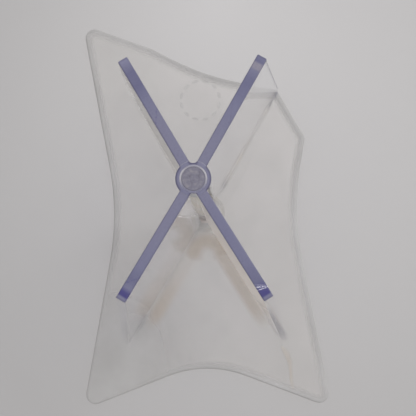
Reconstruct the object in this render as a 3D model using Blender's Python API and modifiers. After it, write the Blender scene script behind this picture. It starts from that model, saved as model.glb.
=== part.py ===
"""Clear-plastic radiometer: four upright vanes on a hub that turns round a fixed spindle,
above a four-pointed base plate with bowed-in sides and one corner broken away.

Frame: +Z up, origin on the spindle axis at the underside of the base plate, +Y to the back.
"""

import math

import bmesh
import bpy
from mathutils import Matrix, Vector

MM = 0.001

# Driving dimensions, in millimetres and degrees.

# Fits between pieces.
SEAT_GAP = 0.3          # between faces that rest on each other
GLUE_GAP = 0.1          # glue line round a glued or pressed piece
RUNNING_GAP = 0.1       # radial, between the spindle and its bushes

# Base plate.
PLATE_LENGTH = 165.0    # between its points before they are rounded, along Y
PLATE_WIDTH = 104.2     # between the same points, along X
PLATE_THICKNESS = 3.0
LONG_SIDE_DIP = 15.1    # how far the left and right sides run in at the middle, before rounding
SHORT_SIDE_DIP = 20.0   # the same for the front and back sides
LONG_WAIST_RADIUS = 110.0
SHORT_WAIST_RADIUS = 45.0
CORNER_RADIUS = 4.0
EDGE_ROUND = 0.9        # rounding of the plate's edges

# The missing back right corner: a curved break from the back side, then a straight one.
BREAK_BACK_SHARE = 0.58     # where the break leaves the back side, from its left point to its middle
BREAK_RIGHT_SHARE = 0.38    # where it meets the right side, from its middle to its back point
BREAK_POINT_X = 30.2        # the point between the curved and the straight break
BREAK_POINT_Y = 53.6
BREAK_LEAVE_ANGLE = -29.0   # the curved break's direction where it leaves the back side
BREAK_MEET_ANGLE = -5.0     # its direction at the break point
BREAK_LEAVE_PULL = 0.30     # how strongly each direction holds, as a share of the break's length
BREAK_MEET_PULL = 0.45

# Spindle and the collar that holds its foot.
SPINDLE_RADIUS = 3.3
SPINDLE_CHAMFER = 0.25
COLLAR_RADIUS = 6.6
COLLAR_HEIGHT = 4.0
COLLAR_CHAMFER = 0.5
WASHER_THICKNESS = 0.8
WASHER_RADIUS = 5.0

# Hub and its bushes.
BUSH_WALL = 0.4
BUSH_LENGTH = 7.0
HUB_WALL = 1.1
HUB_CHAMFER = 0.15
FRONT_NOTCH_WALL = 0.25     # wall that is left in the hub's notch between the front vanes
BACK_NOTCH_WALL = 0.48      # the same between the back vanes

# Vanes.
VANE_THICKNESS = 3.0
VANE_HEIGHT = 60.0
VANE_TOP_REACH = 39.0   # from the axis to the outer end of the top edge
VANE_FOOT_REACH = 64.0  # from the axis to the outer end of the foot
SHORT_FOOT_REACH = 60.7     # the same for the back right vane
BACK_SPREAD = 30.0      # angle between each back vane and the Y axis
FRONT_SPREAD = 31.5     # the same for the front vanes
VANE_FOOT_GAP = 1.2     # running clearance above the plate
VANE_EDGE_BEVEL = 0.2
COLLAR_RELIEF = 1.2     # clearance between the vanes and the collar

# Beads of cement.
BEAD_WIDTH = 1.5
BEAD_HEIGHT = 1.9
BEAD_START_GAP = 1.7    # from the vane's inner end at its foot
BEAD_END_GAP = 3.0      # from the vane's outer end at its foot
COLLAR_BEAD = 1.6

# Facets.
ROUND_STEPS = 40
SIDE_STEPS = 10
CORNER_STEPS = 5
FILLET_STEPS = 4
EDGE_STEPS = 2
CREASE_ANGLE = 35.0     # edges sharper than this stay sharp when shaded
WELD_DISTANCE = 0.005   # points closer than this are one point

# Worked-out sizes.
BUSH_BORE = SPINDLE_RADIUS + RUNNING_GAP
BUSH_RADIUS = BUSH_BORE + BUSH_WALL
HUB_BORE = BUSH_RADIUS + GLUE_GAP
HUB_RADIUS = HUB_BORE + HUB_WALL
PLATE_TOP = PLATE_THICKNESS
VANE_FOOT = PLATE_TOP + VANE_FOOT_GAP
VANE_TOP = VANE_FOOT + VANE_HEIGHT
COLLAR_FOOT = PLATE_TOP + SEAT_GAP
COLLAR_TOP = COLLAR_FOOT + COLLAR_HEIGHT
WASHER_FOOT = COLLAR_TOP + SEAT_GAP
WASHER_TOP = WASHER_FOOT + WASHER_THICKNESS
HUB_FOOT = WASHER_TOP + SEAT_GAP
HUB_TOP = VANE_TOP
VANE_SEAT_RADIUS = HUB_RADIUS + GLUE_GAP
RELIEF_RADIUS = COLLAR_RADIUS + COLLAR_RELIEF
BEAD_START = RELIEF_RADIUS + BEAD_START_GAP

# Each vane's heading from the X axis, anticlockwise seen from above, and the reach of its foot.
VANES = {
    "back_right": (90.0 - BACK_SPREAD, SHORT_FOOT_REACH),
    "back_left": (90.0 + BACK_SPREAD, VANE_FOOT_REACH),
    "front_left": (270.0 - FRONT_SPREAD, VANE_FOOT_REACH),
    "front_right": (270.0 + FRONT_SPREAD, VANE_FOOT_REACH),
}

# Finishes: colour, roughness, metallic.
FINISHES = {
    "violet_clear_plastic": ((0.42, 0.42, 0.62), 0.12, 0.0),
    "clear_plastic": ((0.72, 0.71, 0.70), 0.12, 0.0),
    "bearing_plastic": ((0.80, 0.79, 0.78), 0.35, 0.0),
    "aged_cement": ((0.55, 0.42, 0.26), 0.30, 0.0),
}


def clear_scene():
    """Removes every object that the file starts with."""
    for old in list(bpy.data.objects):
        bpy.data.objects.remove(old)


def collection(name):
    """A new collection in the scene."""
    made = bpy.data.collections.new(name)
    bpy.context.scene.collection.children.link(made)
    return made


def finish(name):
    """The material of that name, made on first use."""
    material = bpy.data.materials.get(name)
    if material is None:
        colour, roughness, metallic = FINISHES[name]
        material = bpy.data.materials.new(name)
        material.use_nodes = True
        shader = material.node_tree.nodes["Principled BSDF"]
        shader.inputs["Base Color"].default_value = (*colour, 1.0)
        shader.inputs["Roughness"].default_value = roughness
        shader.inputs["Metallic"].default_value = metallic
        material.diffuse_color = (*colour, 1.0)
    return material


def place(name, data, parent, finish_name, group):
    """A new object for that mesh, in its collection, under its parent, with its material."""
    obj = bpy.data.objects.new(name, data)
    group.objects.link(obj)
    obj.parent = parent
    data.materials.append(finish(finish_name))
    return obj


def axis_empty(name, group):
    """An empty on the spindle axis that carries the pieces of one body."""
    empty = bpy.data.objects.new(name, None)
    group.objects.link(empty)
    return empty


def turned(name, profile, parent, finish_name, group):
    """A solid turned about Z from (radius, height) points that run down the outer side."""
    mesh = bpy.data.meshes.new(name)
    shape = bmesh.new()
    ring = [shape.verts.new((radius * MM, 0.0, height * MM)) for radius, height in profile]
    for first, second in zip(ring, ring[1:]):
        shape.edges.new((first, second))
    if profile[0][0] > 0.0:
        shape.edges.new((ring[-1], ring[0]))
    shape.to_mesh(mesh)
    shape.free()
    obj = place(name, mesh, parent, finish_name, group)
    screw = obj.modifiers.new("turn", "SCREW")
    screw.axis = "Z"
    screw.steps = ROUND_STEPS
    screw.render_steps = ROUND_STEPS
    screw.use_merge_vertices = True
    screw.merge_threshold = WELD_DISTANCE * MM
    screw.use_smooth_shade = True
    return obj


def tube(name, bore, radius, foot, top, chamfer, parent, finish_name, group):
    """A turned tube with its outer top edge chamfered."""
    profile = [
        (bore, top),
        (radius - chamfer, top),
        (radius, top - chamfer),
        (radius, foot),
        (bore, foot),
    ]
    return turned(name, profile, parent, finish_name, group)


def outline_mesh(name, outline, thickness, edge_round=0.0):
    """A closed mesh of a flat outline in the XY plane, with that thickness about Z = 0."""
    curve = bpy.data.curves.new(name, "CURVE")
    curve.dimensions = "2D"
    curve.fill_mode = "BOTH"
    curve.extrude = (thickness / 2.0 - edge_round) * MM
    curve.bevel_depth = edge_round * MM
    curve.bevel_resolution = EDGE_STEPS
    curve.offset = -edge_round * MM
    spline = curve.splines.new("POLY")
    spline.points.add(len(outline) - 1)
    for point, (x, y) in zip(spline.points, outline):
        point.co = (x * MM, y * MM, 0.0, 1.0)
    spline.use_cyclic_u = True
    drawn = bpy.data.objects.new(name, curve)
    bpy.context.scene.collection.objects.link(drawn)
    graph = bpy.context.evaluated_depsgraph_get()
    mesh = bpy.data.meshes.new_from_object(drawn.evaluated_get(graph))
    bpy.data.objects.remove(drawn)
    bpy.data.curves.remove(curve)
    shape = bmesh.new()
    shape.from_mesh(mesh)
    bmesh.ops.remove_doubles(shape, verts=shape.verts, dist=WELD_DISTANCE * MM)
    shape.to_mesh(mesh)
    shape.free()
    mesh.name = name
    return mesh


def left_of(direction):
    """The direction a quarter turn to the left."""
    return Vector((-direction.y, direction.x))


def turned_by(direction, degrees):
    """The direction turned anticlockwise."""
    angle = math.radians(degrees)
    return Vector((
        direction.x * math.cos(angle) - direction.y * math.sin(angle),
        direction.x * math.sin(angle) + direction.y * math.cos(angle),
    ))


def rounded(before, corner, after, radius, steps):
    """The arc of that radius that rounds one corner of an outline."""
    arriving = (corner - before).normalized()
    leaving = (after - corner).normalized()
    turn = arriving.angle_signed(leaving)
    trim = radius * math.tan(abs(turn) / 2.0)
    inward = math.copysign(1.0, -turn)
    begin = corner - arriving * trim
    spoke = left_of(arriving) * -radius * inward
    centre = begin - spoke
    sweep = -math.degrees(turn)
    return [centre + turned_by(spoke, sweep * i / steps) for i in range(steps + 1)]


def break_curve(start, end):
    """The curved break as a cubic curve, both ends included."""
    reach = (end - start).length
    forward = Vector((1.0, 0.0))
    near = start + turned_by(forward, BREAK_LEAVE_ANGLE) * reach * BREAK_LEAVE_PULL
    far = end - turned_by(forward, BREAK_MEET_ANGLE) * reach * BREAK_MEET_PULL
    points = []
    for i in range(SIDE_STEPS + 1):
        t = i / SIDE_STEPS
        s = 1.0 - t
        points.append(s**3 * start + 3 * s * s * t * near + 3 * s * t * t * far + t**3 * end)
    return points


def plate_outline():
    """The plate's outline, anticlockwise from the front left point."""
    half_width, half_length = PLATE_WIDTH / 2.0, PLATE_LENGTH / 2.0
    front_left = Vector((-half_width, -half_length))
    front_right = Vector((half_width, -half_length))
    back_right = Vector((half_width, half_length))
    back_left = Vector((-half_width, half_length))
    front = Vector((0.0, SHORT_SIDE_DIP - half_length))
    right = Vector((half_width - LONG_SIDE_DIP, 0.0))
    back = Vector((0.0, half_length - SHORT_SIDE_DIP))
    left = Vector((LONG_SIDE_DIP - half_width, 0.0))
    break_start = back_left.lerp(back, BREAK_BACK_SHARE)
    break_point = Vector((BREAK_POINT_X, BREAK_POINT_Y))
    break_end = right.lerp(back_right, BREAK_RIGHT_SHARE)

    outline = rounded(left, front_left, front, CORNER_RADIUS, CORNER_STEPS)
    outline += rounded(front_left, front, front_right, SHORT_WAIST_RADIUS, SIDE_STEPS)
    outline += rounded(front, front_right, right, CORNER_RADIUS, CORNER_STEPS)
    outline += rounded(front_right, right, back_right, LONG_WAIST_RADIUS, SIDE_STEPS)
    outline += [break_end]
    outline += reversed(break_curve(break_start, break_point))
    outline += rounded(back, back_left, left, CORNER_RADIUS, CORNER_STEPS)
    outline += rounded(back_left, left, front_left, LONG_WAIST_RADIUS, SIDE_STEPS)
    return [(point.x, point.y) for point in outline]


def base_plate(parent, group):
    """The four-pointed plate, lying on Z = 0."""
    mesh = outline_mesh("base_plate", plate_outline(), PLATE_THICKNESS, EDGE_ROUND)
    mesh.transform(Matrix.Translation((0.0, 0.0, PLATE_THICKNESS / 2.0 * MM)))
    return place("base_plate", mesh, parent, "clear_plastic", group)


def spindle(parent, group):
    """The rod that stands on the plate, the collar round its foot and the washer on the collar."""
    foot = PLATE_TOP + SEAT_GAP
    rod = [
        (0.0, HUB_TOP),
        (SPINDLE_RADIUS - SPINDLE_CHAMFER, HUB_TOP),
        (SPINDLE_RADIUS, HUB_TOP - SPINDLE_CHAMFER),
        (SPINDLE_RADIUS, foot),
        (0.0, foot),
    ]
    turned("spindle_rod", rod, parent, "violet_clear_plastic", group)
    tube("spindle_collar", SPINDLE_RADIUS + GLUE_GAP, COLLAR_RADIUS, COLLAR_FOOT, COLLAR_TOP,
         COLLAR_CHAMFER, parent, "clear_plastic", group)
    tube("thrust_washer", BUSH_BORE, WASHER_RADIUS, WASHER_FOOT, WASHER_TOP,
         HUB_CHAMFER, parent, "bearing_plastic", group)


def fillet_points(width, height):
    """A hollow fillet's section: a right angle at the origin, closed by a hollow arc."""
    points = [(0.0, 0.0)]
    for i in range(FILLET_STEPS + 1):
        angle = math.radians(90.0 * i / FILLET_STEPS)
        points.append((width * (1.0 - math.sin(angle)), height * (1.0 - math.cos(angle))))
    return points


def collar_bead(parent, group):
    """The ring of old cement in the corner between the collar and the plate."""
    wall = COLLAR_RADIUS + GLUE_GAP
    section = fillet_points(COLLAR_BEAD, COLLAR_BEAD)
    profile = [(wall + x, COLLAR_FOOT + y) for x, y in reversed(section[1:])]
    profile.append((wall, COLLAR_FOOT))
    turned("collar_cement", profile, parent, "aged_cement", group)


def as_cutter(obj, group):
    """Moves an object to the cutters, which aren't part of the model."""
    for old in list(obj.users_collection):
        old.objects.unlink(obj)
    group.objects.link(obj)
    obj.hide_render = True
    obj.display_type = "WIRE"
    return obj


def cut_by(obj, cutter):
    """Takes the cutter's shape away from the object."""
    cut = obj.modifiers.new(cutter.name, "BOOLEAN")
    cut.operation = "DIFFERENCE"
    cut.object = cutter


def notch_cutter(name, middle, spread, wall, group):
    """A prism that notches the hub between two vanes, in line with their faces."""
    half = VANE_THICKNESS / 2.0
    lean = math.radians(spread)
    corners = []
    for depth in (HUB_BORE + wall, HUB_RADIUS + VANE_THICKNESS):
        along = (depth - half * math.sin(lean)) / math.cos(lean)
        corners.append((depth, along * math.sin(lean) - half * math.cos(lean)))
    outline = [(depth, -side) for depth, side in corners] + corners[::-1]
    mesh = outline_mesh(name, outline, HUB_TOP - HUB_FOOT + 2.0 * VANE_THICKNESS)
    mesh.transform(Matrix.Translation((0.0, 0.0, (HUB_FOOT + HUB_TOP) / 2.0 * MM)))
    cutter = bpy.data.objects.new(name, mesh)
    cutter.rotation_euler.z = math.radians(middle)
    return as_cutter(cutter, group)


def hub(cutters, parent, group):
    """The tube that the vanes are cemented to, notched between them, with a bush pressed into each end."""
    body = tube("rotor_hub", HUB_BORE, HUB_RADIUS, HUB_FOOT, HUB_TOP, HUB_CHAMFER,
                parent, "violet_clear_plastic", group)
    cut_by(body, notch_cutter("front_notch", 270.0, FRONT_SPREAD, FRONT_NOTCH_WALL, cutters))
    cut_by(body, notch_cutter("back_notch", 90.0, BACK_SPREAD, BACK_NOTCH_WALL, cutters))
    for name, foot in (("lower_bush", HUB_FOOT), ("upper_bush", HUB_TOP - BUSH_LENGTH)):
        tube(name, BUSH_BORE, BUSH_RADIUS, foot, foot + BUSH_LENGTH, HUB_CHAMFER,
             parent, "bearing_plastic", group)


def hub_cutter(group):
    """A cylinder that hollows the vanes' inner edges to fit round the hub."""
    length = (VANE_TOP - VANE_FOOT) + 2.0 * VANE_THICKNESS
    bpy.ops.mesh.primitive_cylinder_add(
        vertices=ROUND_STEPS,
        radius=VANE_SEAT_RADIUS * MM,
        depth=length * MM,
        location=(0.0, 0.0, (VANE_FOOT + VANE_TOP) / 2.0 * MM),
    )
    cutter = bpy.context.object
    cutter.name = "hub_seat"
    return as_cutter(cutter, group)


def vane_outline(foot_reach):
    """One vane's outline: distance from the axis, and height."""
    inner = HUB_BORE
    return [
        (inner, HUB_FOOT),
        (RELIEF_RADIUS, HUB_FOOT),
        (RELIEF_RADIUS, VANE_FOOT),
        (foot_reach, VANE_FOOT),
        (VANE_TOP_REACH, VANE_TOP),
        (inner, VANE_TOP),
    ]


def vane(corner, heading, foot_reach, cutter, parent, group):
    """One upright vane, cut round the hub, and the bead of cement along each side of its foot."""
    upright = Matrix.Rotation(math.radians(90.0), 4, "X")
    mesh = outline_mesh(f"vane_{corner}", vane_outline(foot_reach), VANE_THICKNESS)
    mesh.transform(upright)
    obj = place(f"vane_{corner}", mesh, parent, "violet_clear_plastic", group)
    obj.rotation_euler.z = math.radians(heading)
    bevel = obj.modifiers.new("eased_edges", "BEVEL")
    bevel.width = VANE_EDGE_BEVEL * MM
    bevel.segments = 1
    cut_by(obj, cutter)

    bead_length = foot_reach - BEAD_END_GAP - BEAD_START
    for side, mirror in (("left", 1.0), ("right", -1.0)):
        face = VANE_THICKNESS / 2.0 + GLUE_GAP
        section = [(mirror * (face + x), VANE_FOOT + y) for x, y in fillet_points(BEAD_WIDTH, BEAD_HEIGHT)]
        bead = outline_mesh(f"cement_{corner}_{side}", section, bead_length)
        radial = Matrix.Rotation(math.radians(90.0), 4, "Z") @ upright
        bead.transform(Matrix.Translation(((BEAD_START + bead_length / 2.0) * MM, 0.0, 0.0)) @ radial)
        run = place(f"cement_{corner}_{side}", bead, parent, "aged_cement", group)
        run.rotation_euler.z = math.radians(heading)


def shade(group):
    """Smooth shading with sharp edges kept on every piece."""
    for obj in group.objects:
        if obj.type == "MESH":
            obj.data.shade_smooth()
            obj.data.set_sharp_from_angle(angle=math.radians(CREASE_ANGLE))


def main():
    """Builds the stand and the rotor."""
    clear_scene()
    group = collection("radiometer")
    cutters = collection("cutters")
    stand = axis_empty("stand", group)
    rotor = axis_empty("vane_rotor", group)
    base_plate(stand, group)
    spindle(stand, group)
    collar_bead(stand, group)
    hub(cutters, rotor, group)
    cutter = hub_cutter(cutters)
    for corner, (heading, foot_reach) in VANES.items():
        vane(corner, heading, foot_reach, cutter, rotor, group)
    shade(group)


main()
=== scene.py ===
import math

import bmesh
import bpy
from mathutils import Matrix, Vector, noise


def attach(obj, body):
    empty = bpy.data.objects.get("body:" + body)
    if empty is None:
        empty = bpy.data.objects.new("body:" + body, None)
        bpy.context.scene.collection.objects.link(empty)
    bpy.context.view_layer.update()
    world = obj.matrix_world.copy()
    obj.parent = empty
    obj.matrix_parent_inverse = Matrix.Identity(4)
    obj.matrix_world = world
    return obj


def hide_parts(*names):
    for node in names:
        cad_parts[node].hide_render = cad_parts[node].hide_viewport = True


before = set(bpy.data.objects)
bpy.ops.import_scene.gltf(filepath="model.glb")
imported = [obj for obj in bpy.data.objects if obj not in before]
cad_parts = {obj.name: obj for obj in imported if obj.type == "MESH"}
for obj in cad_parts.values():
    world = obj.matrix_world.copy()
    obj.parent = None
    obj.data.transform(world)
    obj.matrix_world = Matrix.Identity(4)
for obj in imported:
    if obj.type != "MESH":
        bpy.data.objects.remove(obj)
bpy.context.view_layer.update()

MM = 0.001

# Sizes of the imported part, in millimetres.
PLATE_TOP = 3.0
VANE_FOOT = 4.2
VANE_TOP = 64.2
VANE_HALF = 1.5
TOP_REACH = 39.0
HUB_FOOT = 8.7
HUB_RADIUS = 5.0
HUB_BORE = 3.9
BUSH_RADIUS = 3.87
BUSH_BORE = 3.36
BUSH_LENGTH = 7.0
ROD_RADIUS = 3.3
ROD_FOOT = 3.3
RELIEF_RADIUS = 7.8
BEAD_START = 9.5
BEAD_END_GAP = 3.0
BEAD_WIDTH = 1.5
BEAD_HEIGHT = 1.9
VANES = {  # heading in degrees, reach of the foot
    "back_right": (60.0, 60.7),
    "back_left": (120.0, 64.0),
    "front_left": (238.5, 64.0),
    "front_right": (301.5, 64.0),
}
NOTCHES = [  # in the hub: heading, the vanes' angle from it, place of the floor, hollow of the floor
    (270.0, 31.5, 4.08, 0.04),
    (90.0, 30.0, 4.38, 0.22),
]

# Details, lengths in millimetres.
EASE = 0.32             # eased edges of the vanes
EASE_BEND = 0.29        # where the bend's middle point lies, as a share of the ease
SEAM = 0.03             # glue line between vane and hub
TUBE_BEND = 0.3         # the same for the hub and the bushes
HUB_EASE = 0.06
BUSH_EASE = 0.05
ROD_EASE = 0.07
ROD_FOOT_EASE = 0.2
ROD_BORDER = 0.5        # border round the rod's end
HUB_BORDER = 0.75
VANE_PLACES = (-0.5, -0.25, 0.0, 0.25, 0.5)  # slices of a vane between its eased edges
NOTCH_PLACES = (-1.0, -0.67, -0.33, 0.0, 0.33, 0.67, 1.0)  # points across a notch's floor
MOUTH_ROOM = 0.02       # radians kept free of other points beside a notch's mouth
LEAST_LEAN = 0.3        # keeps inset corners from running out
BEAD_GAP = 0.03         # between a bead and its vane
BEAD_TIP = 0.12         # a bead's size at its very ends, as a share
BEAD_RISE = 9.0         # how fast it grows from one end
BEAD_FALL = 6.0         # and shrinks towards the other
BEAD_FADE = 12.0        # how fast its cement grows dense from its ends
BEAD_LEAST = 0.15       # its smallest size, as a share
BEAD_FULL = 0.86        # its usual size, as a share
BEAD_WAVES = [(0.40, 0.16, 7.3, 0.5), (0.18, 0.7, 1.0, 3.1)]  # height, pace along, step per seed, start
BEAD_BODY = (1.0, 0.0, 0.3, 0.6, 0.85, 1.0, 1.0)  # how dense it is at its section's points
LAY_GAP = 0.02          # under what lies on the plate
RING_CENTRE = Vector((-1.5, 48.0))
RING_RADIUS = 8.3
RING_WIDTH = 1.3
RING_HEIGHT = 0.25
DASH_START = 0.16       # of a dash's share of the ring
DASH_LENGTH = 0.68
DASH_SWELL = (0.12, 0.76)   # its start and its length on a half wave
RIM_ROUND = 1.1         # rounding of the plate's rim
RIM_SHADE_FILM = [(3.7, 0.0), (2.9, 0.22), (2.0, 0.52), (RIM_ROUND, 0.80)]  # inset, share of the grey film that paints shade along the rim
# painted shade: share of the grey film over the rim's rounding
RIM_ROUND_SHADE_FILM = 0.92
CEMENT_RUN = [  # on the plate: x, y, half width, height
    (31.0, -55.8, 0.4, 0.15),
    (32.2, -57.6, 1.1, 0.28),
    (33.6, -60.0, 1.3, 0.30),
    (34.7, -62.9, 1.2, 0.32),
    (35.1, -66.8, 0.9, 0.30),
    (35.2, -70.6, 0.8, 0.26),
    (35.8, -73.4, 0.6, 0.22),
    (36.1, -74.5, 0.2, 0.10),
]

# Angles between faces, in degrees, from which an edge is sharp.
CREASE = 32.0
VANE_CREASE = 12.0

# Counts.
ROUND_STEPS = 96
BEAD_STEPS = 44
BEND_STEPS = 5          # in a quarter circle
RUN_STEPS = 6           # across the cement run
RING_DASHES = 12
DASH_STEPS = 6

# Places of the materials.
VANE_MARKS = [2, 2, 2, 3, 1, 2]         # round a slice: foot, outer edge, top edge, inner edge
TUBE_MARKS = [1, 1, 1, 1, 0, 0, 0, 0]   # round a tube's profile: end, then sides
ROD_MARKS = [1, 1, 0, 0]

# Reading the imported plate, in metres.
PLACES = 6              # decimal places
SAME = 1e-6

# Where cement, darker smears, dust, painted shade and painted light lie, lengths in millimetres.
BAND_CORE = 0.6         # half width of the full middle of a leg or a smear
ARCH_CENTRE = (1.0, -18.0, 1.5)     # cement spread in front of the spindle
ARCH_RADIUS = 6.2
ARCH_CORE = 0.4
ARCH_REACH = 5.2
ARCH_CUT = (-22.0, -17.0)           # the arch fades out forward between these places
ARCH_COVER = 0.43
LEGS = {  # its legs along the front vanes: middle and reach across the vane, cover
    "front_left": (4.6, 4.6, 0.09),
    "front_right": (-3.7, 4.2, 0.33),
}
LEG_COMES = (14.0, 20.0)
LEG_GOES = (44.0, 57.0)
SMEARS = {  # a darker grey smear under a vane's end: where it comes and goes, middle and reach across, cover
    "front_right": ((45.0, 53.0), (58.0, 65.0), 0.0, 2.8, 0.36),
    "back_right": ((52.0, 58.0), (61.0, 65.0), 1.0, 4.0, 0.55),
}
INNER_DULL = [(45.0, 52.0, 0.12)]   # a bead turns dull between these places, by this much
OUTER_DULL = [(45.0, 52.0, 0.60)]
BACK_DULL = [(21.0, 13.0, 0.30), (49.0, 54.0, 0.55)]
PLATE_SHADE_X = (-42.0, 15.0)              # painted shade: the plate's grey film is thickest to the left and front, and fades to the right and to the back
PLATE_SHADE_Y = (-62.0, -4.0)
PLATE_SHADE_COVER = 0.80
PLATE_SHADE_BACK = 0.12
CLOUD_COVER = 0.05
VEIL_ANGLES = (0.89, 0.97)          # dust, and painted light and shade, on a vane show at these low angles
VEIL_COVER = 0.58
VEIL_FADE = (36.0, 50.0)            # and fades out along the vane
VEIL_END = 0.08
BUSH_SHADE_FRONT = (-3.0, 0.8)           # where painted shade lies on a bush, in front and behind
BUSH_SHADE_BACK = (2.0, 3.6)
NOTCH_SHADE = (3.9, 4.2)            # radii at which the notches' shade comes
HUB_LEAN = 30.75                    # the vanes' mean angle from front and back, in degrees
BESIDE_VANE = (0.75, 1.05)          # where the hub's border comes beside a vane, in half sheets
NOTCH_SIDE = (-0.92, -0.60)         # and where the notches' shade ends
BORDER_COVER = 0.9
EDGE_BORDER = (0.60, 0.92)          # dark border of a vane's top edge, in half sheets
EDGE_BORDER_COVER = 0.30
EDGE_END = (0.980, 1.0)             # and its dark end, as shares of its reach
EDGE_END_COVER = 0.5
OUTER_ANGLES = (0.36, 0.58)         # a vane's outer edge turns clear at these angles
OUTER_COVER = 0.85
CEMENT_ANGLES = (0.05, 0.75)        # cement turns clearer at these angles
CEMENT_LOW = 0.15

# Optics.
PLASTIC_IOR = 1.49
CEMENT_IOR = 1.5
SAWN_GLOSS = 0.3
DULL_GLOSS = 0.2
BUMP_DEPTH = 0.0001     # in metres
CAUGHT_DEPTH = 3.5      # light that has turned more often than this is caught inside a vane

# Noise textures, grains per metre.
DUST_GRAIN = 900.0
SCRATCH_GRAIN = 160.0
CLOUD_GRAIN = 38.0
STREAK_GRAIN = 300.0
EDGE_CLOUD_GRAIN = 260.0
OUTER_CLOUD_GRAIN = 200.0
SAW_GRAIN = 1500.0
RAGGED_GRAIN = 2300.0
HUB_MOTTLE = 500.0
ROD_MOTTLE = 800.0
BUSH_GRAIN = 700.0
TURNING_GRAIN = 500.0
ROD_CLOUD_GRAIN = 90.0
CEMENT_CLOUD_GRAIN = 120.0
BUBBLE_GRAIN = 1400.0
FLOOR_GRAIN = 60.0

# Camera, from the vanes' tips, the hub and the plate's points in the photograph.
FRAME_PIXELS = 416.0
SENSOR = 36.0
FOCAL_PIXELS = 417.6
CAMERA_AT = (9.01, -27.14, 178.56)  # in millimetres
CAMERA_TILT = (1.63, 0.99, -0.63)   # in degrees
AXIS_PIXEL = (219.8, 264.8)
CLIP_START = 0.005                  # in metres

# Light and table, in metres.
WORLD_TONE = (0.99, 0.98, 0.985)
WORLD_STRENGTH = 0.83
LAMP_AT = (0.75, 0.55, 0.85)
LAMP_AIM = (0.0, 0.0, 0.03)
LAMP_SIZE = 0.8
LAMP_POWER = 8.0
TABLE_REACH = 12.0
TABLE_DROP = 0.0004     # below the plate
# painted light on the table: the middle of a painted pool of light
PAINTED_LIGHT_AT = (0.004, 0.095, 0.0)
PAINTED_LIGHT_SLOPE = (0.88, -3.7)          # painted light: change of the table's tone with x and y
PAINTED_LIGHT_FALL = 8.03                   # and with the way from the brightest place of the painted pool of light
TABLE_MOTTLE = 0.05
TABLE_LEVEL = 1.28

# Tones, linear.
VIOLET = (0.152, 0.153, 0.238)
DEEP_VIOLET = (0.113, 0.114, 0.200)
DARK_BLUE = (0.048, 0.043, 0.170)
GREY_VIOLET = (0.170, 0.168, 0.244)
PALE_VIOLET = (0.205, 0.204, 0.300)
WARM_PALE = (0.225, 0.211, 0.258)
RIM_VIOLET = (0.080, 0.076, 0.135)
ROD_DARK = (0.142, 0.137, 0.172)
ROD_MIDDLE = (0.168, 0.162, 0.208)
ROD_PALE = (0.228, 0.217, 0.243)
RING_PALE = (0.385, 0.376, 0.405)
SCRATCH = (0.750, 0.750, 0.820)
CLEAR_TINT = (0.975, 0.975, 0.988)
PLATE_TINT = (0.988, 0.983, 0.977)
# grey of the plate's film, which paints shade along its rim and to the left and front; also the grey of
# cloudiness and of some cement
SHADE_AND_HAZE_GREY = (0.352, 0.346, 0.341)
WALL_PALE = (0.560, 0.555, 0.560)
# painted light and shade in the vanes' dust veil: paler on the front vanes, darker grey on the back ones
LIT_FRONT_VEIL = ((0.930, 0.870, 0.810), (0.830, 0.780, 0.730))
SHADED_BACK_VEIL = ((0.560, 0.540, 0.520), (0.480, 0.465, 0.450))
SATIN_PALE = (0.860, 0.850, 0.835)
SATIN_WARM = (0.820, 0.780, 0.720)
# painted light and shade: the bushes are one plastic; the lower bush and the washer are given a darker grey,
# the upper bush's side a paler one
SHADED_BUSH_GREY = (0.500, 0.462, 0.440)
LIT_BUSH_PALE = (0.660, 0.655, 0.660)
DULL_GREY = (0.240, 0.236, 0.255)
STAIN = (0.330, 0.280, 0.230)
AMBER = (0.400, 0.310, 0.210)
AMBER_PALE = (0.500, 0.430, 0.340)
BROWN_CEMENT = (AMBER, AMBER_PALE)
GREY_CEMENT = (SHADE_AND_HAZE_GREY, AMBER_PALE)
# the table's tones where its painted light is lowest and highest
FLOOR_SHADED = (0.390, 0.383, 0.382)
FLOOR_LIT = (0.511, 0.502, 0.502)
EDGE_STOPS = {  # along each vane's top edge: place as a share of its reach, tone
    "back_left": [
        (0.10, GREY_VIOLET), (0.34, GREY_VIOLET), (0.50, GREY_VIOLET), (0.66, VIOLET),
        (0.78, DEEP_VIOLET), (0.89, DEEP_VIOLET), (0.94, VIOLET), (1.0, PALE_VIOLET),
    ],
    "back_right": [
        (0.10, GREY_VIOLET), (0.30, GREY_VIOLET), (0.60, VIOLET), (0.82, DEEP_VIOLET), (0.885, VIOLET),
        (0.905, WARM_PALE), (0.940, WARM_PALE), (0.955, DEEP_VIOLET), (1.0, VIOLET),
    ],
    "front_left": [
        (0.10, GREY_VIOLET), (0.45, GREY_VIOLET), (0.74, VIOLET), (0.835, DEEP_VIOLET),
        (0.900, VIOLET), (0.935, DARK_BLUE), (0.965, DARK_BLUE), (0.978, GREY_VIOLET),
    ],
    "front_right": [
        (0.10, GREY_VIOLET), (0.35, VIOLET), (0.70, VIOLET), (0.86, DEEP_VIOLET),
        (0.925, DARK_BLUE), (0.965, DARK_BLUE), (0.978, VIOLET), (1.0, GREY_VIOLET),
    ],
}
EDGE_MARKS = {  # scratches across it: place, width, slant, tone, strength
    "back_left": [(0.52, 0.012, 40.0, DARK_BLUE, 0.55)],
    "back_right": [(0.55, 0.008, -60.0, RIM_VIOLET, 0.5)],
    "front_left": [(0.84, 0.010, 30.0, DARK_BLUE, 0.6)],
    "front_right": [
        (0.902, 0.007, -13.0, SCRATCH, 1.0),
        (0.918, 0.005, -6.0, SCRATCH, 0.8),
        (0.888, 0.004, -16.0, SCRATCH, 0.5),
    ],
}


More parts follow.
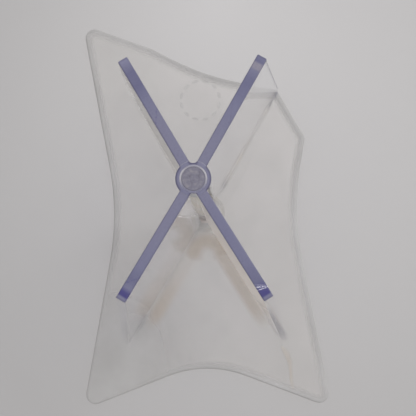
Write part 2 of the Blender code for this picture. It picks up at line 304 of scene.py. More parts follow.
class Tree:
    """A material's node tree with short ways to add and join nodes."""

    def __init__(self, name):
        self.material = bpy.data.materials.new(name)
        self.material.use_nodes = True
        self.nodes = self.material.node_tree.nodes
        self.links = self.material.node_tree.links
        self.shader = self.nodes["Principled BSDF"]
        self.output = self.nodes["Material Output"]

    def add(self, kind, **settings):
        node = self.nodes.new(kind)
        for key, value in settings.items():
            setattr(node, key, value)
        return node

    def join(self, source, target):
        self.links.new(source, target)

    def feed(self, socket, value):
        """Gives an input a number, a tone or another node's output."""
        if isinstance(value, (int, float)):
            socket.default_value = value
        elif isinstance(value, tuple):
            socket.default_value = (*value, 1.0)
        else:
            self.join(value, socket)

    def coordinates(self):
        """The piece's own coordinates, in metres."""
        return self.add("ShaderNodeTexCoord").outputs["Object"]

    def split(self, vector):
        node = self.add("ShaderNodeSeparateXYZ")
        self.join(vector, node.inputs[0])
        return node.outputs

    def distance(self, vector, place):
        """How far a point is from a fixed place, in metres."""
        node = self.add("ShaderNodeVectorMath", operation="DISTANCE")
        self.join(vector, node.inputs[0])
        node.inputs[1].default_value = place
        return node.outputs["Value"]

    def maths(self, operation, first, second=None, clamp=False):
        node = self.add("ShaderNodeMath", operation=operation, use_clamp=clamp)
        self.feed(node.inputs[0], first)
        if second is not None:
            self.feed(node.inputs[1], second)
        return node.outputs[0]

    def product(self, first, *others):
        for other in others:
            first = self.maths("MULTIPLY", first, other)
        return first

    def most(self, first, *others):
        """The largest of some values."""
        for other in others:
            first = self.maths("MAXIMUM", first, other)
        return first

    def remap(self, value, low, high, to_low=0.0, to_high=1.0):
        node = self.add("ShaderNodeMapRange", interpolation_type="SMOOTHSTEP")
        self.join(value, node.inputs["Value"])
        for key, number in (("From Min", low), ("From Max", high), ("To Min", to_low), ("To Max", to_high)):
            node.inputs[key].default_value = number
        return node.outputs[0]

    def fade(self, value, low, high, to_low=0.0, to_high=1.0):
        """A remap between two places in millimetres."""
        return self.remap(value, low * MM, high * MM, to_low, to_high)

    def band(self, value, middle, core, reach, cover):
        """A soft band round a middle: full within its core and gone at its reach, in millimetres."""
        off = self.maths("ABSOLUTE", self.maths("SUBTRACT", value, middle * MM))
        return self.fade(off, core, reach, cover, 0.0)

    def noise(self, vector, scale, detail=3.0, stretch=None, roughness=0.55):
        if stretch is not None:
            mapping = self.add("ShaderNodeMapping")
            mapping.inputs["Scale"].default_value = stretch
            self.join(vector, mapping.inputs["Vector"])
            vector = mapping.outputs[0]
        node = self.add("ShaderNodeTexNoise")
        node.inputs["Scale"].default_value = scale
        node.inputs["Detail"].default_value = detail
        node.inputs["Roughness"].default_value = roughness
        self.join(vector, node.inputs["Vector"])
        return node.outputs["Fac"]

    def ramp(self, value, stops):
        """A tone from (place, tone) stops."""
        node = self.add("ShaderNodeValToRGB")
        elements = node.color_ramp.elements
        while len(elements) < len(stops):
            elements.new(1.0)
        for element, (place, tone) in zip(elements, stops):
            element.position = place
            element.color = (*tone, 1.0)
        self.join(value, node.inputs[0])
        return node.outputs[0]

    def blend(self, share, first, second):
        """Two tones mixed by a share."""
        node = self.add("ShaderNodeMix", data_type="RGBA")
        for place, value in ((0, share), (6, first), (7, second)):
            self.feed(node.inputs[place], value)
        return node.outputs[2]

    def share(self):
        """The share that each point of the mesh carries."""
        return self.add("ShaderNodeAttribute", attribute_name="share").outputs["Fac"]

    def facing(self, blend=0.5):
        """How low the angle is at which the surface is seen, from 0 to 1."""
        node = self.add("ShaderNodeLayerWeight")
        node.inputs["Blend"].default_value = blend
        return node.outputs["Facing"]

    def bump(self, height, strength):
        node = self.add("ShaderNodeBump")
        node.inputs["Strength"].default_value = strength
        node.inputs["Distance"].default_value = BUMP_DEPTH
        self.join(height, node.inputs["Height"])
        self.join(node.outputs[0], self.shader.inputs["Normal"])

    def dress(self, colour, roughness, ior=None, gloss=None, shader=None):
        """Gives a shader its colour and roughness, and its refraction and gloss where they are named."""
        if shader is None:
            shader = self.shader
        looks = {"Base Color": colour, "Roughness": roughness, "IOR": ior, "Specular IOR Level": gloss}
        for key, value in looks.items():
            if value is not None:
                self.feed(shader.inputs[key], value)

    def mix(self, share, first, second):
        """Two shaders mixed by a share."""
        node = self.add("ShaderNodeMixShader")
        for socket, value in zip(node.inputs, (share, first, second)):
            self.feed(socket, value)
        return node.outputs[0]

    def see_through(self, tint=(1.0, 1.0, 1.0)):
        node = self.add("ShaderNodeBsdfTransparent")
        self.feed(node.inputs["Color"], tint)
        return node.outputs[0]

    def lets_lamps_through(self, shader, tint, caught_too=False):
        """Light from lamps, and light caught inside if asked, passes straight through a clear sheet."""
        path = self.add("ShaderNodeLightPath").outputs
        straight = [path["Is Shadow Ray"], path["Is Diffuse Ray"]]
        if caught_too:
            straight.append(self.maths("GREATER_THAN", path["Ray Depth"], CAUGHT_DEPTH))
            within = self.add("ShaderNodeNewGeometry").outputs["Backfacing"]
            straight.append(self.product(within, path["Is Camera Ray"]))
        return self.mix(self.most(*straight), shader, self.see_through(tint))

    def show(self, shader):
        self.join(shader, self.output.inputs["Surface"])


def strip_along(tree, here, corner, comes, goes, middle, reach, cover):
    """A soft strip on the plate along a vane's heading at rest, in millimetres along and across it."""
    x, y, _ = tree.split(here)
    heading = math.radians(VANES[corner][0])
    ahead, aside = math.cos(heading), math.sin(heading)
    along = tree.maths("ADD", tree.product(x, ahead), tree.product(y, aside))
    across = tree.maths("SUBTRACT", tree.product(y, ahead), tree.product(x, aside))
    strip = tree.band(across, middle, BAND_CORE, reach, cover)
    return tree.product(strip, tree.fade(along, *comes), tree.fade(along, *goes, 1.0, 0.0))


def dark_smear(tree, here):
    """Darker grey smears on the plate under the outer ends of the vanes on the right."""
    return tree.most(*[strip_along(tree, here, corner, *smear) for corner, smear in SMEARS.items()])


def cement_stain(tree, here):
    """Old cement spread on the plate: an arch in front of the spindle, and a leg along each front vane."""
    _, y, _ = tree.split(here)
    away = tree.distance(here, tuple(value * MM for value in ARCH_CENTRE))
    arch = tree.band(away, ARCH_RADIUS, ARCH_CORE, ARCH_REACH, ARCH_COVER)
    arch = tree.product(arch, tree.fade(y, *ARCH_CUT))
    legs = [strip_along(tree, here, corner, LEG_COMES, LEG_GOES, *leg) for corner, leg in LEGS.items()]
    return tree.most(arch, *legs)


def clear_plastic(name, tint):
    """Clear plastic with dust and fine scratches: its tree, its coordinates, its dust and its clouds."""
    tree = Tree(name)
    here = tree.coordinates()
    dust = tree.noise(here, DUST_GRAIN, 4.0)
    scratch = tree.noise(here, SCRATCH_GRAIN, 2.0, stretch=(1.0, 14.0, 3.0))
    clouds = tree.noise(here, CLOUD_GRAIN)
    faded = tuple(value * 0.965 for value in tint)
    worn = tree.product(tree.remap(dust, 0.62, 0.75), 0.10)
    tree.dress(tree.blend(tree.remap(clouds, 0.35, 0.7), tint, faded),
               tree.maths("ADD", worn, 0.015), PLASTIC_IOR)
    tree.shader.inputs["Transmission Weight"].default_value = 1.0
    tree.bump(scratch, 0.025)
    return tree, here, dust, clouds


def lay_film(tree, tone, share):
    """A dull film over the main shader, by a share."""
    film = tree.add("ShaderNodeBsdfPrincipled")
    tree.dress(tone, 0.5, gloss=0.08, shader=film)
    return tree.mix(share, tree.shader.outputs[0], film.outputs[0])


def plate_sheet(name):
    """The plate's clear plastic, with a grey film of painted shade along its rim and towards the left and
    front, old cement and darker grey smears.
    """
    tree, here, _, clouds = clear_plastic(name, PLATE_TINT)
    stain = cement_stain(tree, here)
    smear = dark_smear(tree, here)
    tone = tree.blend(tree.remap(clouds, 0.3, 0.8, 0.0, 0.3), SHADE_AND_HAZE_GREY, WALL_PALE)
    tone = tree.blend(tree.remap(stain, 0.0, 0.09), tone, STAIN)
    tone = tree.blend(tree.remap(smear, 0.0, 0.2), tone, DULL_GREY)
    x, y, _ = tree.split(here)
    # painted shade: the plate's grey film is thickest to the left and front, with random clouds added
    shade_and_clouds = tree.product(tree.fade(x, *PLATE_SHADE_X, PLATE_SHADE_COVER, 0.0), tree.fade(y, *PLATE_SHADE_Y, 1.0, PLATE_SHADE_BACK))
    shade_and_clouds = tree.maths("ADD", shade_and_clouds, tree.remap(clouds, 0.3, 0.8, 0.0, CLOUD_COVER))
    # the film lies along the rim's painted shade, the painted shade to the left and front, the cement and the
    # smears
    surface = lay_film(tree, tone, tree.most(tree.share(), shade_and_clouds, stain, smear))
    tree.show(tree.lets_lamps_through(surface, PLATE_TINT))
    return tree.material


def vane_sheet(name, veil):
    """A vane's clear plastic, with a veil that shows at low angles: dust, and painted light and shade, paler
    on the front vanes and darker on the back ones.
    """
    tree, here, dust, _ = clear_plastic(name, CLEAR_TINT)
    x, _, _ = tree.split(here)
    # the veil of dust and painted light and shade, seen at low angles
    share = tree.remap(tree.facing(), *VEIL_ANGLES, 0.0, VEIL_COVER)
    share = tree.product(share, tree.fade(x, *VEIL_FADE, 1.0, VEIL_END))
    surface = lay_film(tree, tree.blend(dust, *veil), share)
    tree.show(tree.lets_lamps_through(surface, CLEAR_TINT, caught_too=True))
    return tree.material


def clear_wall(name, tint, gloss, film=0.0):
    """Clear plastic wall: see-through, with a gloss that grows at low angles."""
    tree = Tree(name)
    streaks = tree.noise(tree.coordinates(), STREAK_GRAIN, stretch=(1.0, 1.0, 0.06))
    colour = tree.blend(streaks, tint, tuple(value * 0.8 for value in tint))
    tree.dress(colour, tree.remap(streaks, 0.3, 0.7, 0.06, 0.2), PLASTIC_IOR)
    share = tree.product(tree.facing(0.25), gloss)
    share = tree.maths("ADD", share, tree.remap(streaks, 0.4, 0.8, film + 0.01, film + 0.04))
    tree.show(tree.mix(share, tree.see_through(), tree.shader.outputs[0]))
    return tree.material


def cut_edge(name, stops, marks):
    """A vane's sawn and eased top edge: violet along its length, with dark borders and saw marks."""
    tree = Tree(name)
    here = tree.coordinates()
    along, across, _ = tree.split(here)
    along = tree.maths("DIVIDE", along, TOP_REACH * MM)
    colour = tree.ramp(along, stops)
    clouds = tree.noise(here, EDGE_CLOUD_GRAIN, 4.0, stretch=(1.0, 0.6, 0.02))
    colour = tree.blend(tree.remap(clouds, 0.3, 0.75, 0.0, 0.25), colour, GREY_VIOLET)
    saw = tree.noise(here, SAW_GRAIN, 4.0, stretch=(1.6, 0.8, 0.02))
    colour = tree.blend(tree.remap(saw, 0.45, 0.75, 0.0, 0.22), colour, RIM_VIOLET)
    ragged = tree.remap(tree.noise(here, RAGGED_GRAIN, roughness=0.7), 0.42, 0.58)
    for place, width, slant, tone, strength in marks:
        off = tree.maths("ADD", tree.maths("SUBTRACT", along, place), tree.product(across, slant))
        line = tree.remap(tree.maths("ABSOLUTE", off), width * 0.3, width, 1.0, 0.0)
        colour = tree.blend(tree.product(line, ragged, strength), colour, tone)
    side = tree.maths("DIVIDE", tree.maths("ABSOLUTE", across), VANE_HALF * MM)
    colour = tree.blend(tree.remap(side, *EDGE_BORDER, 0.0, EDGE_BORDER_COVER), colour, RIM_VIOLET)
    colour = tree.blend(tree.remap(along, *EDGE_END, 0.0, EDGE_END_COVER), colour, RIM_VIOLET)
    tree.dress(colour, tree.remap(clouds, 0.2, 0.8, 0.25, 0.42), PLASTIC_IOR, SAWN_GLOSS)
    tree.bump(saw, 0.12)
    return tree.material


def slanted_edge(name):
    """A vane's outer edge: violet when looked into, and almost clear at a low angle."""
    tree = Tree(name)
    here = tree.coordinates()
    saw = tree.noise(here, SAW_GRAIN, 4.0, stretch=(0.4, 0.8, 1.0))
    clouds = tree.noise(here, OUTER_CLOUD_GRAIN)
    colour = tree.blend(tree.remap(clouds, 0.35, 0.7), VIOLET, GREY_VIOLET)
    colour = tree.blend(tree.remap(saw, 0.45, 0.75, 0.0, 0.25), colour, RIM_VIOLET)
    tree.dress(colour, tree.remap(saw, 0.2, 0.8, 0.25, 0.45), PLASTIC_IOR)
    tree.bump(saw, 0.1)
    share = tree.remap(tree.facing(), *OUTER_ANGLES, OUTER_COVER, 0.0)
    tree.show(tree.mix(share, tree.see_through(), tree.shader.outputs[0]))
    return tree.material


def shaped_border(tree, x, y, radius, border):
    """The hub's dark border: left out where a vane meets the hub, and drawn in along the notches as painted
    shade.
    """
    lean = math.radians(HUB_LEAN)
    off = tree.maths("SUBTRACT", tree.product(tree.maths("ABSOLUTE", x), math.cos(lean)),
                     tree.product(tree.maths("ABSOLUTE", y), math.sin(lean)))
    beside = tree.fade(tree.maths("ABSOLUTE", off), *[VANE_HALF * place for place in BESIDE_VANE])
    notch = tree.fade(off, *[VANE_HALF * place for place in NOTCH_SIDE], BORDER_COVER, 0.0)
    notch = tree.product(notch, tree.fade(radius, *NOTCH_SHADE))
    return tree.most(tree.product(border, beside), notch)


def round_end(name, width, outer, tones, rim_tone, spots, arms=False):
    """The end of a turned piece: mottled, with a border, shaped round the vanes if asked."""
    tree = Tree(name)
    here = tree.coordinates()
    x, y, _ = tree.split(here)
    radius = tree.maths("SQRT", tree.maths("ADD", tree.product(x, x), tree.product(y, y)))
    mottle = tree.noise(here, spots, 4.0, stretch=(1.0, 1.0, 0.02))
    colour = tree.ramp(mottle, list(zip((0.32, 0.50, 0.68), tones)))
    border = tree.fade(radius, outer - width, outer - width * 0.2, 0.0, BORDER_COVER)
    if arms:
        border = shaped_border(tree, x, y, radius, border)
    colour = tree.blend(border, colour, rim_tone)
    tree.dress(colour, tree.remap(mottle, 0.3, 0.7, 0.25, 0.5), PLASTIC_IOR, SAWN_GLOSS)
    tree.bump(mottle, 0.15)
    return tree.material


def pale_ring(name, tone, dull=0.0):
    """A bush or washer: pale plastic, with painted shade in front and, less, behind, as dark as asked."""
    tree = Tree(name)
    here = tree.coordinates()
    _, y, _ = tree.split(here)
    # painted shade: darker towards the front and, less, towards the back
    front = tree.fade(y, *BUSH_SHADE_FRONT, dull, 0.0)
    back = tree.fade(y, *BUSH_SHADE_BACK, 0.0, 0.6 * dull)
    grain = tree.noise(here, BUSH_GRAIN)
    colour = tree.blend(tree.maths("ADD", front, back), tone, GREY_VIOLET)
    colour = tree.blend(tree.remap(grain, 0.4, 0.8, 0.0, 0.30), colour, PALE_VIOLET)
    tree.dress(colour, tree.remap(grain, 0.3, 0.7, 0.3, 0.5), gloss=DULL_GLOSS)
    tree.bump(grain, 0.08)
    return tree.material


def satin_side(name):
    """The spindle's sanded side: pale satin plastic with fine turning lines."""
    tree = Tree(name)
    here = tree.coordinates()
    lines = tree.noise(here, TURNING_GRAIN, stretch=(0.1, 0.1, 3.0))
    clouds = tree.noise(here, ROD_CLOUD_GRAIN)
    colour = tree.blend(tree.remap(clouds, 0.35, 0.7), SATIN_PALE, SATIN_WARM)
    colour = tree.blend(tree.remap(lines, 0.5, 0.8, 0.0, 0.25), colour, WALL_PALE)
    tree.dress(colour, tree.remap(lines, 0.3, 0.7, 0.35, 0.55), PLASTIC_IOR)
    tree.bump(lines, 0.06)
    glow = tree.add("ShaderNodeBsdfTranslucent")
    tree.join(colour, glow.inputs["Color"])
    tree.show(tree.mix(0.5, tree.shader.outputs[0], glow.outputs[0]))
    return tree.material


def old_cement(name, cover, tones, dull_places=(), thins=True):
    """Yellowed clear cement that thins out at its edges, and turns dull grey in the given places."""
    tree = Tree(name)
    here = tree.coordinates()
    clouds = tree.noise(here, CEMENT_CLOUD_GRAIN, 4.0)
    bubbles = tree.noise(here, BUBBLE_GRAIN, 2.0)
    colour = tree.blend(tree.remap(clouds, 0.35, 0.68), *tones)
    share = tree.remap(clouds, 0.25, 0.75, cover * 0.7, cover * 1.2)
    for start, full, more in dull_places:
        dull = tree.fade(tree.split(here)[0], start, full)
        colour = tree.blend(dull, colour, DULL_GREY)
        share = tree.maths("ADD", share, tree.product(dull, more), clamp=True)
    share = tree.product(share, tree.remap(tree.facing(), *CEMENT_ANGLES, 1.0, CEMENT_LOW))
    if thins:
        share = tree.product(share, tree.share())
    tree.dress(colour, tree.remap(bubbles, 0.4, 0.7, 0.18, 0.4), CEMENT_IOR)
    tree.bump(bubbles, 0.2)
    tree.show(tree.mix(share, tree.see_through(), tree.shader.outputs[0]))
    return tree.material


def piece(name, shape, materials, body, replaced=(), turn=0.0, crease=CREASE):
    """A finished piece from a bmesh, riding on its body."""
    bmesh.ops.recalc_face_normals(shape, faces=shape.faces)
    mesh = bpy.data.meshes.new(name)
    shape.to_mesh(mesh)
    shape.free()
    mesh.shade_smooth()
    mesh.set_sharp_from_angle(angle=math.radians(crease))
    for material in materials:
        mesh.materials.append(material)
    obj = bpy.data.objects.new(name, mesh)
    bpy.context.scene.collection.objects.link(obj)
    obj.rotation_euler.z = math.radians(turn)
    bpy.context.view_layer.update()
    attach(obj, body)
    if replaced:
        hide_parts(*replaced)


def inset_points(points, distance):
    """A closed anticlockwise outline moved in by that distance."""
    moved = []
    for before, here, after in zip(points[-1:] + points[:-1], points, points[1:] + points[:1]):
        first = (here - before).normalized()
        second = (after - here).normalized()
        middle = Vector((-first.y - second.y, first.x + second.x)).normalized()
        lean = max(LEAST_LEAN, middle.dot(Vector((-first.y, first.x))))
        moved.append(here + middle * distance / lean)
    return moved


def loft(shape, rings, marks=None, shares=None):
    """Closed rings of equal count joined with quads and capped: a material per place, a share per point."""
    layer = shape.verts.layers.float.new("share") if shares else None
    grown = [[shape.verts.new(point) for point in ring] for ring in rings]
    if shares:
        for ring, values in zip(grown, shares):
            for vertex, value in zip(ring, values):
                vertex[layer] = value
    for first, second in zip(grown, grown[1:]):
        count = len(first)
        for i in range(count):
            j = (i + 1) % count
            face = shape.faces.new((first[i], first[j], second[j], second[i]))
            if marks is not None:
                face.material_index = marks[i]
    shape.faces.new(grown[0])
    shape.faces.new(grown[-1])


def all_round():
    """Even angles once round."""
    return [2.0 * math.pi * i / ROUND_STEPS for i in range(ROUND_STEPS)]


def quarter_bend(wide, high):
    """Points between (wide, 0) and (0, high) on a hollow quarter bend."""
    angles = [math.radians(90.0 * i / BEND_STEPS) for i in range(1, BEND_STEPS)]
    return [(wide * (1.0 - math.sin(angle)), high * (1.0 - math.cos(angle))) for angle in angles]


def vane_rings(foot_reach):
    """One vane as slices through its thickness, with eased edges and its inner edge round the hub."""
    eased = [(-1.0, 1.0), (-1.0 + EASE_BEND * EASE / VANE_HALF, EASE_BEND), (-1.0 + EASE / VANE_HALF, 0.0)]
    slices = eased + [(place, 0.0) for place in VANE_PLACES]
    slices += [(-place, inset) for place, inset in reversed(eased)]
    rings = []
    for place, inset in slices:
        y = place * VANE_HALF
        inner = math.sqrt((HUB_RADIUS + SEAM) ** 2 - y * y)
        outline = [
            Vector((inner, HUB_FOOT)),
            Vector((RELIEF_RADIUS, HUB_FOOT)),
            Vector((RELIEF_RADIUS, VANE_FOOT)),
            Vector((foot_reach, VANE_FOOT)),
            Vector((TOP_REACH, VANE_TOP)),
            Vector((inner, VANE_TOP)),
        ]
        drawn = inset_points(outline, inset * EASE)
        drawn[0].x = drawn[-1].x = inner
        rings.append([(p.x * MM, y * MM, p.y * MM) for p in drawn])
    return rings


def build_vane(corner, heading, foot_reach, materials):
    """One vane: clear faces, violet top edge, outer edge and foot."""
    shape = bmesh.new()
    loft(shape, vane_rings(foot_reach), marks=VANE_MARKS)
    piece(f"clear_vane_{corner}", shape, materials, "vane_rotor",
          (f"vane_{corner}",), heading, crease=VANE_CREASE)


def hub_outline():
    """The hub's outline as (angle, radius): round, with a notch between the front and the back vanes."""
    outline = []
    mouths = []
    for heading, spread, floor, hollow in NOTCHES:
        middle, lean = math.radians(heading), math.radians(spread)
        mouth = lean - math.asin(VANE_HALF / HUB_RADIUS)
        along = (floor + hollow - VANE_HALF * math.sin(lean)) / math.cos(lean)
        side = along * math.sin(lean) - VANE_HALF * math.cos(lean)
        for share in NOTCH_PLACES:
            depth = floor + hollow * share * share
            outline.append((middle + math.atan2(side * share, depth), math.hypot(side * share, depth)))
        outline += [(middle - mouth, HUB_RADIUS), (middle + mouth, HUB_RADIUS)]
        mouths.append((middle, mouth + MOUTH_ROOM))
    for angle in all_round():
        if all(abs(angle - middle) > mouth for middle, mouth in mouths):
            outline.append((angle, HUB_RADIUS))
    return sorted(outline)


def turned_piece(name, sections, marks, materials, body, replaced, closed):
    """A piece round the spindle axis from (angle, profile) sections, each of (radius, height) points."""
    shape = bmesh.new()
    grown = []
    for place in range(len(sections[0][1])):
        ring = []
        for angle, profile in sections:
            radius, height = profile[place]
            point = (radius * math.cos(angle) * MM, radius * math.sin(angle) * MM, height * MM)
            ring.append(shape.verts.new(point))
        grown.append(ring)
    if closed:
        grown.append(grown[0])
    count = len(sections)
    for step, (first, second) in enumerate(zip(grown, grown[1:])):
        for i in range(count):
            j = (i + 1) % count
            shape.faces.new((first[i], first[j], second[j], second[i])).material_index = marks[step]
    if not closed:
        shape.faces.new(grown[0]).material_index = marks[0]
        shape.faces.new(grown[-1]).material_index = marks[-1]
    piece(name, shape, materials, body, replaced)


def eased_tube(bore, radius, foot, top, ease):
    """A tube's profile with eased edges, from its bore over its top, down its side and over its foot."""
    return [
        (bore, top - ease),
        (bore + ease, top),
        (radius - ease, top),
        (radius - ease * TUBE_BEND, top - ease * TUBE_BEND),
        (radius, top - ease),
        (radius, foot + ease),
        (radius - ease, foot),
        (bore, foot),
    ]


def bead_mesh(seed, mirror, foot_reach):
    """A bead of old cement along one side of a vane's foot: a hollow fillet of uneven width."""
    rings = []
    shares = []
    for k in range(BEAD_STEPS + 1):
        share = k / BEAD_STEPS
        x = BEAD_START + (foot_reach - BEAD_END_GAP - BEAD_START) * share
        taper = max(BEAD_TIP, min(1.0, BEAD_RISE * share, BEAD_FALL * (1.0 - share)))
        waves = [high * noise.noise((x * pace, seed * step, start)) for high, pace, step, start in BEAD_WAVES]
        size = max(BEAD_LEAST, min(1.0, taper * sum(waves, BEAD_FULL)))
        wide, high = BEAD_WIDTH * size, BEAD_HEIGHT * size
        section = [(0.0, 0.0), (wide, 0.0), *quarter_bend(wide, high), (0.0, high)]
        face = VANE_HALF + BEAD_GAP
        rings.append([(x * MM, mirror * (face + sx) * MM, (VANE_FOOT + sz) * MM) for sx, sz in section])
        ends = min(1.0, BEAD_FADE * share, BEAD_FADE * (1.0 - share))
        shares.append([ends * body for body in BEAD_BODY])
    shape = bmesh.new()
    loft(shape, rings, shares=shares)
    return shape


def walk_round(near):
    """A closed outline's places in order, from the neighbours of each."""
    start = min(near)
    walk = [start]
    while True:
        passed = walk[1:] if len(walk) > 2 else walk
        ahead = sorted(near[walk[-1]].difference(passed))
        if not ahead or ahead[0] == start:
            return walk
        walk.append(ahead[0])


def outline_of_plate():
    """The plate's widest outline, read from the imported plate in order."""
    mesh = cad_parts["base_plate"].data
    reach = {}
    for vertex in mesh.vertices:
        height = round(vertex.co.z, PLACES)
        reach[height] = max(reach.get(height, 0.0), vertex.co.y)
    widest = max(reach.values())
    level = max(height for height, far in reach.items() if far > widest - SAME)
    place = {
        vertex.index: (round(vertex.co.x, PLACES), round(vertex.co.y, PLACES))
        for vertex in mesh.vertices
        if abs(vertex.co.z - level) < 2.0 * SAME
    }
    near = {key: set() for key in place.values()}
    for edge in mesh.edges:
        a, b = [place.get(index) for index in edge.vertices]
        if a and b and a != b:
            near[a].add(b)
            near[b].add(a)
    points = [Vector(key) / MM for key in walk_round(near)]
    area = sum(a.x * b.y - b.x * a.y for a, b in zip(points, points[1:] + points[:1]))
    return points if area > 0.0 else points[::-1]


def build_plate(material):
    """The plate with fully rounded edges and rings of points that carry the grey film of painted shade along
    the rim.
    """
    outline = outline_of_plate()
    profile = [(inset, 0.0, rim_shade) for inset, rim_shade in RIM_SHADE_FILM]
    bend = [*quarter_bend(RIM_ROUND, RIM_ROUND), (0.0, RIM_ROUND)]
    profile += [(inset, height, RIM_ROUND_SHADE_FILM) for inset, height in bend]
    profile += [(inset, PLATE_TOP - height, rim_shade) for inset, height, rim_shade in reversed(profile)]
    rings = []
    for inset, height, _ in profile:
        rings.append([(p.x * MM, p.y * MM, height * MM) for p in inset_points(outline, inset)])
    shape = bmesh.new()
    loft(shape, rings, shares=[[rim_shade] * len(outline) for _, _, rim_shade in profile])
    piece("clear_plate", shape, [material], "stand", ("base_plate",))


def build_ring_mark(material):
    """A plain low ring on the plate behind the spindle, in short raised dashes."""
    shape = bmesh.new()
    for k in range(RING_DASHES):
        rings = []
        for i in range(DASH_STEPS + 1):
            angle = 2.0 * math.pi * (k + DASH_START + DASH_LENGTH * i / DASH_STEPS) / RING_DASHES
            size = math.sin(math.pi * (DASH_SWELL[0] + DASH_SWELL[1] * i / DASH_STEPS))
            foot, top, high = RING_WIDTH / 2 * size, RING_WIDTH / 4 * size, RING_HEIGHT * size
            section = [(-foot, LAY_GAP), (foot, LAY_GAP), (top, high), (-top, high)]
            out = Vector((math.cos(angle), math.sin(angle)))
            places = [(RING_RADIUS + s, PLATE_TOP + z) for s, z in section]
            rings.append([((RING_CENTRE.x + out.x * r) * MM, (RING_CENTRE.y + out.y * r) * MM, z * MM)
                          for r, z in places])
        loft(shape, rings)
    piece("plate_ring_mark", shape, [material], "stand")


def build_cement_run(material):
    """A thin run of old cement on the plate, domed across and thinner towards its ends."""
    highest = max(high for _, _, _, high in CEMENT_RUN)
    angles = [math.pi * i / RUN_STEPS for i in range(RUN_STEPS + 1)]
    last = len(CEMENT_RUN) - 1
    rings = []
    shares = []
    for k, (x, y, wide, high) in enumerate(CEMENT_RUN):
        before = Vector(CEMENT_RUN[max(0, k - 1)][:2])
        after = Vector(CEMENT_RUN[min(last, k + 1)][:2])
        ahead = (after - before).normalized()
        ring = []
        for angle in angles:
            s, z = wide * math.cos(angle), high * math.sin(angle)
            ring.append(((x - ahead.y * s) * MM, (y + ahead.x * s) * MM, (PLATE_TOP + LAY_GAP + z) * MM))
        rings.append(ring)
        body = high / highest if 0 < k < last else 0.0
        shares.append([body * math.sin(angle) for angle in angles])
    shape = bmesh.new()
    loft(shape, rings, shares=shares)
    piece("cement_run", shape, [material], "stand")


def build_floor():
    """The pale table, with a fine mottle and painted light: brighter and darker across it, and brightest
    round one place.
    """
    tree = Tree("pale_table")
    here = tree.coordinates()
    x, y, _ = tree.split(here)
    # painted light: the tone rises across the table and drops away from its brightest place
    light_slope = tree.maths("ADD", tree.product(x, PAINTED_LIGHT_SLOPE[0]), tree.product(y, PAINTED_LIGHT_SLOPE[1]))
    light_fall = tree.product(tree.distance(here, PAINTED_LIGHT_AT), PAINTED_LIGHT_FALL)
    grain = tree.product(tree.noise(here, FLOOR_GRAIN, 4.0), TABLE_MOTTLE)
    tone = tree.maths("ADD", tree.maths("SUBTRACT", light_slope, light_fall),
                      tree.maths("ADD", grain, TABLE_LEVEL), clamp=True)
    tree.dress(tree.blend(tone, FLOOR_SHADED, FLOOR_LIT), 0.6, gloss=DULL_GLOSS)
    shape = bmesh.new()
    corners = ((-1, -1), (1, -1), (1, 1), (-1, 1))
    shape.faces.new([shape.verts.new((sx * TABLE_REACH, sy * TABLE_REACH, -TABLE_DROP))
                     for sx, sy in corners])
    mesh = bpy.data.meshes.new("table")
    shape.to_mesh(mesh)
    shape.free()
    mesh.materials.append(tree.material)
    floor = bpy.data.objects.new("table", mesh)
    bpy.context.scene.collection.objects.link(floor)


def build_light():
    """Soft studio light: an even surround, and a large square lamp to the back right."""
    world = bpy.data.worlds.new("studio")
    world.use_nodes = True
    background = world.node_tree.nodes["Background"]
    background.inputs["Color"].default_value = (*WORLD_TONE, 1.0)
    background.inputs["Strength"].default_value = WORLD_STRENGTH
    bpy.context.scene.world = world
    light = bpy.data.lights.new("window", "AREA")
    light.size = LAMP_SIZE
    light.energy = LAMP_POWER
    lamp = bpy.data.objects.new("window", light)
    bpy.context.scene.collection.objects.link(lamp)
    lamp.location = LAMP_AT
    lamp.rotation_euler = (Vector(LAMP_AIM) - Vector(LAMP_AT)).to_track_quat("-Z", "Y").to_euler()


def build_camera():
    """Almost straight down, with the frame shifted as in the photograph."""
    data = bpy.data.cameras.new("camera")
    data.sensor_width = SENSOR
    data.sensor_fit = "HORIZONTAL"
    data.lens = FOCAL_PIXELS * SENSOR / FRAME_PIXELS
    data.shift_x = (FRAME_PIXELS / 2.0 - AXIS_PIXEL[0]) / FRAME_PIXELS
    data.shift_y = (AXIS_PIXEL[1] - FRAME_PIXELS / 2.0) / FRAME_PIXELS
    data.clip_start = CLIP_START
    camera = bpy.data.objects.new("camera", data)
    camera.location = Vector(CAMERA_AT) * MM
    camera.rotation_euler = tuple(math.radians(angle) for angle in CAMERA_TILT)
    bpy.context.scene.collection.objects.link(camera)
    bpy.context.scene.camera = camera


def build_vanes(clear):
    """The four vanes, and the cement along their feet."""
    thin = old_cement("aged_cement_thin", 0.04, BROWN_CEMENT, INNER_DULL)
    dulled = old_cement("aged_cement_dulled", 0.05, BROWN_CEMENT, OUTER_DULL)
    brown = old_cement("aged_cement_brown", 0.08, BROWN_CEMENT)
    back_left = old_cement("aged_cement_back", 0.10, GREY_CEMENT)
    back_right = old_cement("aged_cement_hub", 0.16, GREY_CEMENT, BACK_DULL)
    cements = {  # left and right side of each vane, looking out
        "front_left": (thin, dulled),
        "front_right": (brown, brown),
        "back_left": (back_left, back_left),
        "back_right": (back_right, back_right),
    }
    outer = slanted_edge("vane_outer_edge")
    foot = clear_wall("vane_foot_edge", WALL_PALE, 0.03)
    for k, (corner, (heading, foot_reach)) in enumerate(VANES.items()):
        edge = cut_edge(f"vane_edge_{corner}", EDGE_STOPS[corner], EDGE_MARKS[corner])
        build_vane(corner, heading, foot_reach, [clear[corner.split("_")[0]], edge, foot, outer])
        for side, mirror, cement in zip(("left", "right"), (1.0, -1.0), cements[corner]):
            piece(f"old_cement_{corner}_{side}", bead_mesh(2.0 * k + mirror, mirror, foot_reach),
                  [cement], "vane_rotor", (f"cement_{corner}_{side}",), heading)


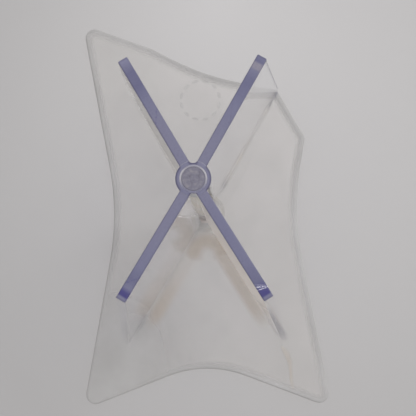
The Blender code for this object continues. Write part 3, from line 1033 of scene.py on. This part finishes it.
def build_hub(wall, violet_end):
    """The hub and its two bushes."""
    hub = [(angle, eased_tube(HUB_BORE, radius, HUB_FOOT, VANE_TOP, HUB_EASE))
           for angle, radius in hub_outline()]
    turned_piece("clear_hub", hub, TUBE_MARKS, [wall, violet_end], "vane_rotor",
                 ("rotor_hub",), True)
    # painted shade: the lower bush gets a darker grey than the upper bush
    grey = pale_ring("shaded_grey_bush", SHADED_BUSH_GREY)
    pale = [pale_ring("pale_bush_side", LIT_BUSH_PALE), pale_ring("pale_bush_end", RING_PALE, 0.9)]
    bushes = {
        "lower_bush": (HUB_FOOT, [grey, grey]),
        "upper_bush": (VANE_TOP - BUSH_LENGTH, pale),
    }
    for name, (foot_at, materials) in bushes.items():
        profile = eased_tube(BUSH_BORE, BUSH_RADIUS, foot_at, foot_at + BUSH_LENGTH, BUSH_EASE)
        turned_piece(f"pale_{name}", [(angle, profile) for angle in all_round()], TUBE_MARKS,
                     materials, "vane_rotor", (name,), True)


def build_stand(wall):
    """The plate, the spindle and its collar, and the old cement on the plate."""
    build_plate(plate_sheet("clear_plate_sheet"))
    build_ring_mark(clear_wall("ring_mark_plastic", DULL_GREY, 0.1, film=0.04))
    rod_tones = (ROD_DARK, ROD_MIDDLE, ROD_PALE)
    rod_end = round_end("sawn_rod_end", ROD_BORDER, ROD_RADIUS, rod_tones, ROD_MIDDLE, ROD_MOTTLE)
    rod = [
        (ROD_RADIUS - ROD_BORDER, VANE_TOP),
        (ROD_RADIUS - ROD_EASE, VANE_TOP),
        (ROD_RADIUS, VANE_TOP - ROD_EASE),
        (ROD_RADIUS, ROD_FOOT + ROD_FOOT_EASE),
        (ROD_RADIUS - ROD_FOOT_EASE, ROD_FOOT),
    ]
    turned_piece("clear_spindle", [(angle, rod) for angle in all_round()], ROD_MARKS,
                 [satin_side("satin_spindle_side"), rod_end], "stand",
                 ("spindle_rod",), False)
    build_cement_run(old_cement("aged_cement_foot", 0.26, BROWN_CEMENT))
    kept = {
        "spindle_collar": wall,
        # painted shade: the washer gets the lower bush's darker grey
        "thrust_washer": pale_ring("shaded_washer", SHADED_BUSH_GREY),
        "collar_cement": old_cement("aged_cement_collar", 0.14, GREY_CEMENT, thins=False),
    }
    for node, material in kept.items():
        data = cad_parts[node].data
        data.materials.clear()
        data.materials.append(material)


def main():
    clear = {
        "front": vane_sheet("clear_vane_sheet", LIT_FRONT_VEIL),
        "back": vane_sheet("clear_back_sheet", SHADED_BACK_VEIL),
    }
    wall = clear_wall("clear_round_wall", WALL_PALE, 0.06)
    violet_end = round_end("violet_hub_end", HUB_BORDER, HUB_RADIUS, (VIOLET, GREY_VIOLET, VIOLET),
                           RIM_VIOLET, HUB_MOTTLE, arms=True)
    build_vanes(clear)
    build_hub(wall, violet_end)
    build_stand(wall)
    build_floor()
    build_light()
    build_camera()
    bpy.context.scene.view_settings.view_transform = "Standard"


main()
